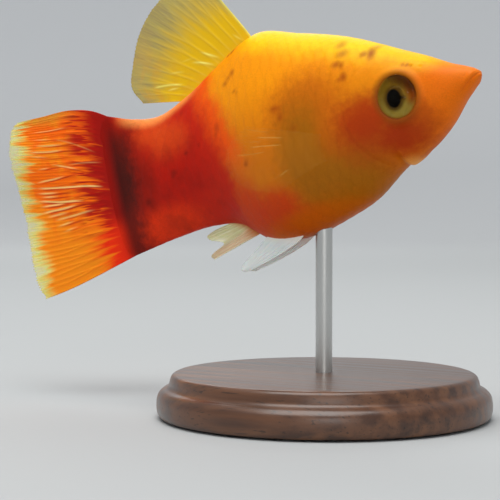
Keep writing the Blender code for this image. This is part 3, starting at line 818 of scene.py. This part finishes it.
def rayCentre(k, along, sizes, side, half):  # place across the fin of one branch of a ray
    inner = 0 < k < sizes["rays"] - 1
    firstSplit, secondSplit = sizes["splits"]
    fork = rise(along, firstSplit, firstSplit + 0.4) * inner
    twig = rise(along, secondSplit, secondSplit + 0.35) * inner
    bend = sizes["waver"] * (np.sin(2.4 * k + 5.0 * along) + 0.5 * np.sin(1.7 * k + 17.0 * along)) * inner
    centre = (k + bend + 0.25 * side * fork + 0.125 * half * twig) / (sizes["rays"] - 1)
    return centre, 1 - 0.35 * fork - 0.25 * twig


def rayRidges(across, along, sizes, width):  # 1 on the crest of a ray, which splits twice on its way out
    ridge = np.zeros(np.broadcast(across, along).shape)
    for k in range(sizes["rays"]):
        for side in (-1, 1):
            for half in (-1, 1):
                centre, thin = rayCentre(k, along, sizes, side, half)
                ridge = np.maximum(ridge, hump(across - centre, width * thin))
    return ridge


def rayStreaks(sizes):  # one painted highlight line on each ray, with its painted shadow line
    rng = np.random.default_rng(sizes["seed"])
    streaks = []
    for k in range(sizes["rays"]):
        across = (k + rng.uniform(-0.25, 0.25)) / (sizes["rays"] - 1)
        start, end = rng.uniform(*sizes["streakStart"]), rng.uniform(*sizes["streakEnd"])
        streaks.append((across, start, across, end, rng.uniform(0.3, 1.0)))
    return streaks


def rayHighlightAndShadow(across, along, sizes, width):  # painted highlights along the rays, and a painted shadow line just below each
    pale = np.zeros(np.broadcast(across, along).shape)
    rayShadow = pale.copy()
    for first, start, last, end, strength in sizes.get("streaks") or rayStreaks(sizes):
        centre = blend(np.clip((along - start) / (end - start), -0.5, 1.2), first, last)
        centre = centre + 0.12 * width * np.sin(24 * along + 40 * first)
        reach = rise(along, start - 0.03, start + 0.08) * (1 - rise(along, end - 0.08, end + 0.02))
        pale = np.maximum(pale, strength * reach * hump(across - centre, width * 0.8))
        reach = rise(along, start - 0.22, start - 0.05) * (1 - rise(along, end - 0.12, end))
        rayShadow = np.maximum(rayShadow, strength * reach * hump(across - centre - 1.6 * width, width * 0.9))
    return pale, rayShadow


def finSheet(name, point, k):
    columns, rows = (k["rays"] - 1) * k["perRay"] + 1, k["rows"] + 1
    across = np.linspace(0, 1, columns)[:, None]
    along = np.linspace(0, 1, rows)[None, :]
    steps = np.diff(stacked(*point(across, along)), axis=0)
    breadth = np.maximum(np.sum(np.linalg.norm(steps, axis=-1), axis=0), 0.5)[None, :]
    width = k["rayWidth"] / breadth
    ridge = rayRidges(across, along, k, width)
    pale, rayShadow = rayHighlightAndShadow(across, along, k, width)
    fringe = 0.5 + 0.25 * np.sin(across * 41 + 2 * np.sin(across * 17))
    fringe = fringe + 0.25 * np.sin(across * 97 + 3 * np.sin(across * 29))
    short = k["fringe"] * (0.6 * (1 - ridge[:, -1:]) + 0.4 * fringe) * rise(along, 0.6, 1.0)
    s, y, h = point(across, along * (1 - short))
    ripple = np.clip(along - 0.2, 0, 1)**1.5 * np.sin(across * k["ripples"] * pi + 1.3 * along + 0.4)
    middle = toWorld(s, y + k["ripple"] * ripple, h)
    joints = 1 + 0.12 * np.sin(along * k["joints"] * pi) * rise(along, 0.2, 0.4)
    rooted = rise(along, k["rootEnd"], k["rootEnd"] + 0.18)
    thick = k["membrane"] + k["rayHeight"] * ridge * rooted * (1 - 0.7 * along) * joints
    thick = thick * (1 - 0.6 * rise(along, 0.9, 1.0))
    half = (thick / 2 * mm)[..., None] * gridNormals(middle, False)
    points = np.concatenate([(middle + half).reshape(-1, 3), (middle - half).reshape(-1, 3)])
    sheet = gridFaces(columns, rows, False)
    block = columns * rows
    grid = np.arange(block).reshape(columns, rows)
    rim = np.concatenate([grid[:, 0], grid[-1, 1:], grid[-2::-1, -1], grid[0, -2:0:-1]]).tolist()
    faces = sheet.tolist() + (block + sheet[:, ::-1]).tolist()
    faces += [(a, b, block + b, block + a) for a, b in zip(rim, rim[1:] + rim[:1])]
    marks = {}
    for label, parts in (("finPlace", (across, along, ridge)), ("rayHighlightAndShadow", (pale, rayShadow, 0.0))):
        values = stacked(*parts).reshape(-1, 3)
        marks[label] = np.concatenate([values, values])
    return makeMesh(name, points, faces, marks, marks["finPlace"][:, :2])


def finMaterial(name, colours, streaks, subsurface):
    made = newMaterial(name)
    place = attribute("finPlace", "Vector")
    across, along, ray = split(place)
    pale, rayShadow, _ = split(attribute("rayHighlightAndShadow", "Vector"))
    pattern = placeGroup(finPattern, {"Place": place, "Streaks": streaks})
    fin = SimpleNamespace(across=across, along=along, ray=ray, pale=pale, rayShadow=rayShadow, **pattern)
    colour, alpha = colours(fin)
    return dress(
        made, Base_Color=colour, Alpha=alpha, Roughness=remap(fin.patchy, 0.3, 0.7, 0.36, 0.50),
        Normal=bump(fin.streak, 0.00003, 0.4), Subsurface_Weight=subsurface, Specular_IOR_Level=0.16,
    )


tailFinSet = {
    "start": 37.3,
    "end": 49.75,
    "rounding": 0.55,
    "corner": 0.6,
    "lift": 0.16,  # the middle rays bend upward by this share of the height
    "waver": 0.05,
    "top": [(37.3, 6.1), (38.0, 6.6), (39.6, 7.6), (42.0, 8.35), (45.5, 8.6), (49.5, 8.9)],
    "low": [(37.3, -7.0), (38.0, -7.15), (41.0, -7.8), (45.8, -8.8), (49.5, -9.3)],
    "rays": 25, "rows": 110, "perRay": 13, "rayWidth": 0.09, "rayHeight": 0.20, "membrane": 0.11,
    "splits": (0.35, 0.68), "fringe": 0.03, "ripple": 0.44, "ripples": 3.0, "joints": 70, "rootEnd": 0.26,
    "streaks": [  # painted highlight lines, each with a painted shadow below: (across, along) of both ends, and strength
        (0.13, 0.47, 0.13, 0.78, 0.5), (0.20, 0.63, 0.19, 0.78, 0.5), (0.25, 0.53, 0.24, 0.76, 0.8),
        (0.29, 0.53, 0.29, 0.83, 0.9), (0.33, 0.67, 0.32, 0.82, 0.6), (0.42, 0.42, 0.38, 0.63, 0.7),
        (0.40, 0.67, 0.41, 0.76, 0.9), (0.46, 0.55, 0.49, 0.80, 0.8), (0.53, 0.24, 0.52, 0.81, 1.0),
        (0.55, 0.64, 0.55, 0.82, 0.8), (0.57, 0.65, 0.57, 0.79, 0.7), (0.61, 0.44, 0.59, 0.83, 1.0),
        (0.61, 0.59, 0.62, 0.82, 0.8), (0.63, 0.50, 0.65, 0.82, 1.0), (0.66, 0.59, 0.67, 0.78, 0.7),
        (0.67, 0.35, 0.69, 0.71, 0.6), (0.71, 0.55, 0.72, 0.70, 0.6), (0.74, 0.53, 0.75, 0.66, 0.5),
        (0.37, 0.21, 0.39, 0.49, 0.3), (0.30, 0.25, 0.20, 0.59, 0.25),
    ],
    "bar": rgb(50, 8, 2),
    "deepRed": rgb(148, 12, 0),
    "lowRed": rgb(248, 48, 2),
    "redOrange": rgb(255, 100, 4),
    "orange": rgb(255, 112, 0),
    "rayShadowAndWedgeRed": rgb(168, 16, 0),
    "rayHighlightTone": rgb(255, 224, 140),
    "lowerLobe": rgb(250, 140, 14),
    "olive": rgb(214, 152, 44),
    "margin": rgb(238, 224, 118),
    "amber": rgb(255, 152, 14),
}


def tailFinPoint(across, along):
    k = tailFinSet
    fromMiddle = np.abs(2 * across - 1)
    end = k["end"] - k["rounding"] * fromMiddle**2 - k["corner"] * fromMiddle**12
    s = blend(along, k["start"], end)
    lifted = across - k["lift"] * np.sin(pi * across) * along
    return s, 0.0, blend(lifted, smoothLine(k["top"])(s), smoothLine(k["low"])(s))


def tailFinColours(fin):
    t = tailFinSet
    across, along, ragged = fin.across, fin.along, fin.ragged
    fromMiddle = abs(across - 0.465)
    bar = remap(across, 0.03, 0.18) * remap(fromMiddle, 0.076, 0.305, 1.0, barEnds)
    lowShare = remap(across, 0.665, 0.84) * remap(along, 0.06, 0.26, 0.4, 0.9)
    rootRed = paint(t["deepRed"], (lowShare, t["lowRed"]), (bar * remap(along, 0.162, 0.024), t["bar"]))
    # deep red at the root runs out between the rays, furthest along the upper rays
    redReach = ragged + remap(across, 0.30, 0.05, 0.0, -0.10) + (ragged - along) * 0.35
    upper = remap(across, 0.42, 0.12) * remap(ragged, 0.85, 0.45) * remap(along, 0.2, 0.35)
    quiet = remap(across, 0.86, 0.70, 0.1, 1.0)
    wedge = remap(fin.dash, 0.48, 0.56) * remap(along, 0.54, 0.38) * remap(along, 0.16, 0.24)
    colour = paint(
        rootRed,
        (remap(redReach, 0.22, 0.39), t["orange"]),
        (upper * 0.7, t["redOrange"]),
        (remap(fin.patchy, 0.44, 0.60) * remap(redReach, 0.35, 0.50) * 0.6, t["amber"]),
        (remap(across, 0.66, 0.86) * remap(ragged, 0.26, 0.50), t["lowerLobe"]),
        # painted shadow lines below the rays' highlights, and short dark red wedges near the root
        (math("MAXIMUM", fin.rayShadow, wedge) * quiet * 0.95, t["rayShadowAndWedgeRed"]),
        # painted highlights along the rays
        (fin.pale * quiet, t["rayHighlightTone"]),
        (remap(across, 0.10, 0.02) * remap(along, 0.3, 0.6) * 0.7, t["olive"]),
        (remap(ragged, 0.82, 0.96), t["margin"]),
    )
    return colour, remap(ragged, 0.85, 1.04, 1.0, 0.3)


def edgeLines(sizes):  # curves across the fin through the edge's places, one for each direction
    edge = np.array(sizes["edge"])
    return [smoothLine(edge[:, (0, column)]) for column in range(1, edge.shape[1])]


def keelFinPoint(sizes):  # a fin in the mid plane, on the back or the belly
    edgeS, edgeH = edgeLines(sizes)
    line, sunk = sizes["foot"]

    def point(across, along):
        root = blend(across, *sizes["root"])
        foot = lines[line](root) + sunk
        return blend(along, root, edgeS(across)), 0.0, blend(along ** sizes["bow"], foot, edgeH(across))

    return point


dorsalSet = {
    "root": (20.9, 29.3),
    "foot": ("back", -0.35),  # the outline it stands on, and how far in
    "bow": 0.94,
    "edge": [
        (0.0, 24.4, 15.4), (0.14, 27.2, 17.0), (0.34, 30.2, 15.8), (0.55, 32.7, 13.7),
        (0.74, 34.3, 11.0), (0.9, 35.0, 8.5), (1.0, 34.1, 6.9),
    ],
    "rays": 12, "rows": 90, "perRay": 16, "rayWidth": 0.13, "rayHeight": 0.09,
    "membrane": 0.10, "waver": 0.02,
    "splits": (0.34, 0.66), "fringe": 0.012, "ripple": 0.22, "ripples": 2.2, "joints": 56, "rootEnd": 0.05,
    # painted highlight lines along the rays, each with a faint painted shadow below
    "streaks": [
        (0.41, 0.09, 0.47, 0.28, 0.8), (0.50, 0.08, 0.58, 0.28, 1.0), (0.80, 0.25, 0.87, 0.63, 0.9),
        (0.84, 0.27, 0.88, 0.41, 0.8), (0.11, 0.07, 0.14, 0.16, 0.8), (0.55, 0.30, 0.63, 0.40, 0.4),
        (0.69, 0.31, 0.74, 0.47, 0.4),
    ],
    "base": rgb(240, 192, 12),
    "tip": rgb(192, 174, 88),
    "grey": rgb(164, 144, 84),
    "amber": rgb(236, 168, 24),
    "paintedHighlight": rgb(255, 246, 120),
    "rayTone": rgb(242, 208, 80),
}


def dorsalColours(fin):
    d = dorsalSet
    grey = remap(fin.streak, 0.48, 0.66) * remap(fin.along, 0.4, 0.8) * 0.6
    colour = paint(
        d["base"],
        (remap(fin.ragged, 0.30, 0.92), d["tip"]),
        (grey, d["grey"]),
        (remap(fin.across, 0.4, 0.95) * remap(fin.patchy, 0.4, 0.65) * 0.5, d["amber"]),
        (remap(fin.ray, 0.3, 0.95) * 0.25, d["rayTone"]),
        # faint painted shadow below each ray's highlight, then painted highlights along the rays and down
        # the leading edge
        (fin.rayShadow * 0.2, d["grey"]),
        (fin.pale, d["paintedHighlight"]),
        (remap(fin.across, 0.03, 0.0) * 0.6, d["paintedHighlight"]),
    )
    return colour, math("MAXIMUM", remap(fin.ragged, 0.25, 1.0, 0.96, 0.7), fin.ray * 0.8)


analSet = {
    "root": (24.0, 26.4),
    "foot": ("belly", 0.3),
    "bow": 1.0,
    "edge": [
        (0.0, 29.9, -9.4), (0.2, 30.0, -8.95), (0.42, 28.3, -8.2), (0.62, 29.7, -7.55),
        (0.84, 30.0, -7.05), (1.0, 29.4, -6.8),
    ],
    "rays": 9, "rows": 60, "perRay": 12, "rayWidth": 0.09, "rayHeight": 0.14,
    "membrane": 0.10, "waver": 0.04,
    "splits": (0.45, 0.8), "fringe": 0.02, "ripple": 0.25, "ripples": 2.0, "joints": 34, "rootEnd": 0.05,
    # where the painted highlight lines along the rays start and end
    "seed": 2, "streakStart": (0.2, 0.6), "streakEnd": (0.9, 1.1),
}

pectoralSet = {
    "root": ((12.9, -2.0), (13.2, -4.0)),
    "edge": [
        (0.0, 20.0, 0.6), (0.2, 22.1, -0.5), (0.4, 22.8, -1.8), (0.6, 22.7, -3.2),
        (0.8, 21.3, -4.7), (1.0, 18.6, -5.8),
    ],
    "splay": 0.13,
    "rays": 13, "rows": 70, "perRay": 11, "rayWidth": 0.11, "rayHeight": 0.06,
    "membrane": 0.08, "waver": 0.03,
    "splits": (0.5, 0.8), "fringe": 0.02, "ripple": 0.12, "ripples": 2.0, "joints": 60, "rootEnd": 0.15,
    # painted highlight lines along the rays: (across, along) of both ends, and strength
    "streaks": [
        (0.05, 0.62, 0.03, 0.98, 0.3), (0.13, 0.42, 0.12, 0.74, 0.6), (0.19, 0.60, 0.18, 0.80, 0.35),
        (0.27, 0.40, 0.26, 0.74, 0.65), (0.38, 0.54, 0.36, 0.90, 0.45), (0.80, 0.42, 0.84, 0.62, 0.5),
    ],
}


def pectoralPoint(side):
    edgeS, edgeH = edgeLines(pectoralSet)

    def point(across, along):
        rootS, rootH = (blend(across, *ends) for ends in zip(*pectoralSet["root"]))
        s, h = blend(along, rootS, edgeS(across)), blend(along, rootH, edgeH(across))
        clear = -0.35 + 0.85 * rise(along, 0.0, 0.22) + pectoralSet["splay"] * (s - rootS)
        return s, side * (skinWidth(s, h) + clear), h

    return point


pelvicSet = {
    "root": ((19.2, 0.95), (22.9, 0.85)),
    "edge": [(0.0, 26.1, 0.7, -11.35), (0.5, 26.6, 0.62, -11.15), (1.0, 26.7, 0.55, -10.8)],
    "sag": 0.45,  # how much sooner the first ray drops than a straight one
    "rays": 6, "rows": 60, "perRay": 14, "rayWidth": 0.10, "rayHeight": 0.14,
    "membrane": 0.10, "waver": 0.04,
    "splits": (0.4, 0.75), "fringe": 0.02, "ripple": 0.10, "ripples": 1.6, "joints": 44, "rootEnd": 0.05,
    # where the painted highlight lines along the rays start and end
    "seed": 6, "streakStart": (0.1, 0.5), "streakEnd": (0.8, 1.05),
}


def pelvicPoint(side):
    edge = edgeLines(pelvicSet)

    def point(across, along):
        rootS, rootY = (blend(across, *ends) for ends in zip(*pelvicSet["root"]))
        edgeS, edgeY, edgeH = (line(across) for line in edge)
        drop = along ** (1 - pelvicSet["sag"] * (1 - across))
        h = blend(drop, bellyHeight(rootS, rootY) + 0.25, edgeH)
        return blend(along, rootS, edgeS), side * blend(along, rootY, edgeY), h

    return point


paleFins = {
    "anal": {
        "Root": rgb(204, 116, 26), "Blade": rgb(222, 220, 164), "Bright": rgb(255, 252, 220),
        "RootStart": 0.0, "RootEnd": 0.36, "RootAlpha": 0.97, "EdgeAlpha": 0.8, "BrightAlpha": 0.95,
        "RayShare": 0.35,
    },
    "pelvic": {
        "Root": rgb(255, 252, 240), "Blade": rgb(238, 246, 244), "Bright": rgb(255, 255, 250),
        "RootStart": 0.0, "RootEnd": 0.25, "RootAlpha": 1.0, "EdgeAlpha": 0.8, "BrightAlpha": 0.95,
        "RayShare": 0.5,
    },
    "pectoral": {
        "Root": rgb(206, 116, 12), "Blade": rgb(220, 150, 50), "Bright": rgb(250, 190, 96),
        "RootStart": 0.04, "RootEnd": 0.20, "RootAlpha": 0.05, "EdgeAlpha": 0.03, "BrightAlpha": 0.45,
        "RayShare": 0.12,
    },
}
brightEdges = {"anal": (0.05, 0.0), "pelvic": (0.12, 0.0), "pectoral": (1.1, 1.2)}  # across the fin: where a painted highlight runs along an edge
analLowLobe = rgb(236, 204, 164)


def paleFinColours(name):
    def colours(fin):
        values = dict(paleFins[name], Along=fin.along, Pale=fin.pale, Ray=fin.ray)
        values["Edge"] = remap(fin.across, *brightEdges[name])
        if name == "anal":  # its lower lobe is pinker, and the notch has a painted highlight along its edge
            values["Blade"] = mix(remap(fin.across, 0.25, 0.5), analLowLobe, values["Blade"])
            notch = remap(fin.across, 0.43, 0.48) * remap(fin.across, 0.62, 0.52)
            values["Edge"] = math("MAXIMUM", values["Edge"], notch * remap(fin.along, 0.7, 0.95))
        made = placeGroup(paleFin, values)
        return made["Colour"], made["Alpha"]
    return colours


def makeFins():  # each: sizes, slot, colours, streaks across, glow, and its place on each side
    for kind, sizes, slotName, colours, streaks, glow, points in (
        ("tail", tailFinSet, "tail_fin", tailFinColours, 34.0, 0.3, {"": tailFinPoint}),
        ("dorsal", dorsalSet, "dorsal_fin", dorsalColours, 24.0, 0.0, {"": keelFinPoint(dorsalSet)}),
        ("anal", analSet, "belly_fin", paleFinColours("anal"), 18.0, 0.1, {"": keelFinPoint(analSet)}),
        ("pectoral", pectoralSet, "pectoral_fin", paleFinColours("pectoral"), 20.0, 0.0,
         {"Left": pectoralPoint(1), "Right": pectoralPoint(-1)}),
        ("pelvic", pelvicSet, "belly_fin", paleFinColours("pelvic"), 14.0, 0.15,
         {"Left": pelvicPoint(1), "Right": pelvicPoint(-1)}),
    ):
        surface = finMaterial(kind + "Fin", colours, streaks, glow)
        for side, point in points.items():
            node = f"{kind}_fin_{side.lower()}" if side else kind + "_fin"
            addPiece(finSheet(kind + "Fin" + side, point, sizes), surface, slotName, node)


# Stand

standSet = {
    "base": [  # outline as (radius, height), turned round the middle
        (0.0, 4.0), (13.1, 4.0), (13.6, 3.85), (13.8, 3.4), (13.9, 2.8), (14.6, 2.5), (15.0, 1.9),
        (15.0, 0.5), (14.5, 0.0), (0.0, 0.0),
    ],
    "baseSteps": 192,
    "baseRounding": 3,
    "rod": [(0.0, 17.6), (0.75, 17.6), (0.75, 3.0), (0.0, 3.0)],  # its ends are inside base and belly
    "rodSteps": 64,
}


def turnedMesh(name, outline, steps, rounding):  # outline from the axis round to the axis again
    outline = np.array(outline)
    for _ in range(rounding):  # cuts the corners, which rounds them
        near, far = outline[:-1], outline[1:]
        cuts = np.stack([blend(0.25, near, far), blend(0.75, near, far)], 1).reshape(-1, 2)
        outline = np.concatenate([outline[:1], cuts, outline[-1:]])
    points = turned(*outline.T, steps) * mm
    mesh = tubeMesh(name, points[1:-1], points[[0, -1], 0])
    mesh.set_sharp_from_angle(angle=radians(30))
    return mesh


def makeStand():
    base = turnedMesh("base", standSet["base"], standSet["baseSteps"], standSet["baseRounding"])
    addPiece(base, woodMaterial(), "stand_wood", "stand_base")
    rod = turnedMesh("rod", standSet["rod"], standSet["rodSteps"], 0)
    addPiece(rod, steelMaterial(), "stand_steel", "stand_rod")


def steelMaterial():
    made = newMaterial("brushedSteel")
    brushed = noise(objectPlace(), 2600.0, 2.0, (1.0, 1.0, 0.02))
    colour = mix(brushed, (0.52, 0.52, 0.51, 1), (0.62, 0.62, 0.60, 1))
    return dress(made, Base_Color=colour, Roughness=remap(brushed, 0.3, 0.7, 0.28, 0.36), Metallic=1.0)


def woodMaterial():
    made = newMaterial("walnut")
    place = objectPlace()
    warp = noise(place, 120.0, 3.0, (0.4, 2.0, 2.0))
    grain = noise(place, 420.0, 6.0, (0.12, 2.4, 2.4))
    pores = noise(place, 1800.0, 2.0, (0.10, 2.6, 2.6))
    colour = paint(
        rgb(58, 34, 20),
        (remap(grain, 0.32, 0.68), rgb(112, 72, 44)),
        (remap(warp, 0.4, 0.65) * 0.5, rgb(82, 48, 28)),
        (remap(pores, 0.60, 0.72) * 0.7, rgb(30, 17, 10)),
    )
    rough = remap(grain, 0.3, 0.7, 0.30, 0.42)
    return dress(made, Base_Color=colour, Roughness=rough, Normal=bump(pores, 0.00003, 0.4), Coat_Weight=0.3)


# Room: a pale floor that curves up all round, and soft lamps

roomSet = {
    "floor": (0.46, 0.48, 0.49, 1.0),
    "farFloor": (0.84, 0.86, 0.88, 1.0),
    "flat": 0.50,  # metres of flat floor round the stand
    "bend": 0.60,
    "bendTo": radians(70.0),
    "bendRings": 33,
    "around": 128,
    "sky": (0.92, 0.94, 0.96, 1.0),
    "skyStrength": 0.46,
    "lamps": (  # name, place, width, power, spread, colour
        ("key", (0.02, -0.12, 0.50), 0.40, 2.4, radians(180.0), (1.0, 0.98, 0.95)),
        ("fill", (0.34, -0.50, 0.20), 0.30, 0.078, radians(60.0), (1.0, 0.99, 0.97)),
        ("back", (-0.30, 0.30, 0.34), 0.30, 0.6, radians(180.0), (1.0, 0.99, 0.96)),
    ),
}


def makeRoom():
    flat, bend = roomSet["flat"], roomSet["bend"]
    tilts = np.linspace(0, roomSet["bendTo"], roomSet["bendRings"])
    points = turned(flat + bend * np.sin(tilts), bend - bend * np.cos(tilts), roomSet["around"])
    faces = fanFaces(0, 1, roomSet["around"])
    faces += (gridFaces(*points.shape[:2], True)[:, ::-1] + 1).tolist()
    mesh = bpy.data.meshes.new("floor")
    mesh.from_pydata([(0, 0, 0), *points.reshape(-1, 3).tolist()], [], faces)
    mesh.shade_smooth()
    made = newMaterial("paleFloor")
    # painted light: the floor is lighter further out, making up for the lamps' light falling off on the far
    # floor and wall
    far = remap(vector("LENGTH", objectPlace()), 0.25, 0.85)
    colour = mix(far, roomSet["floor"], roomSet["farFloor"])
    mesh.materials.append(dress(made, Base_Color=colour, Roughness=0.85, Specular_IOR_Level=0.2))
    addObject("floor", mesh)

    world = bpy.data.worlds.new("studio")
    bpy.context.scene.world = world
    world.use_nodes = True
    sky = world.node_tree.nodes["Background"].inputs
    sky["Color"].default_value = roomSet["sky"]
    sky["Strength"].default_value = roomSet["skyStrength"]
    for name, place, width, power, spread, colour in roomSet["lamps"]:
        data = bpy.data.lights.new(name, "AREA")
        data.size = width
        data.energy = power
        data.spread = spread
        data.color = colour
        lamp = addObject(name, data)
        lamp.location = place
        lamp.visible_camera = False
        lamp.rotation_euler = (Vector(place) - Vector((0, 0, 0.022))).to_track_quat("Z", "Y").to_euler()
    bpy.context.scene.view_settings.view_transform = "Standard"


makeCamera()
makeRoom()
print("camera and room made")
makeSkin()
print("skin made")
iris, cornea = irisMaterial(), corneaMaterial()
makeEye(1, "eye_left", iris, cornea)
makeEye(-1, "eye_right", iris, cornea)
print("eyes made")
makeFins()
print("fins made")
makeStand()
print("stand made")
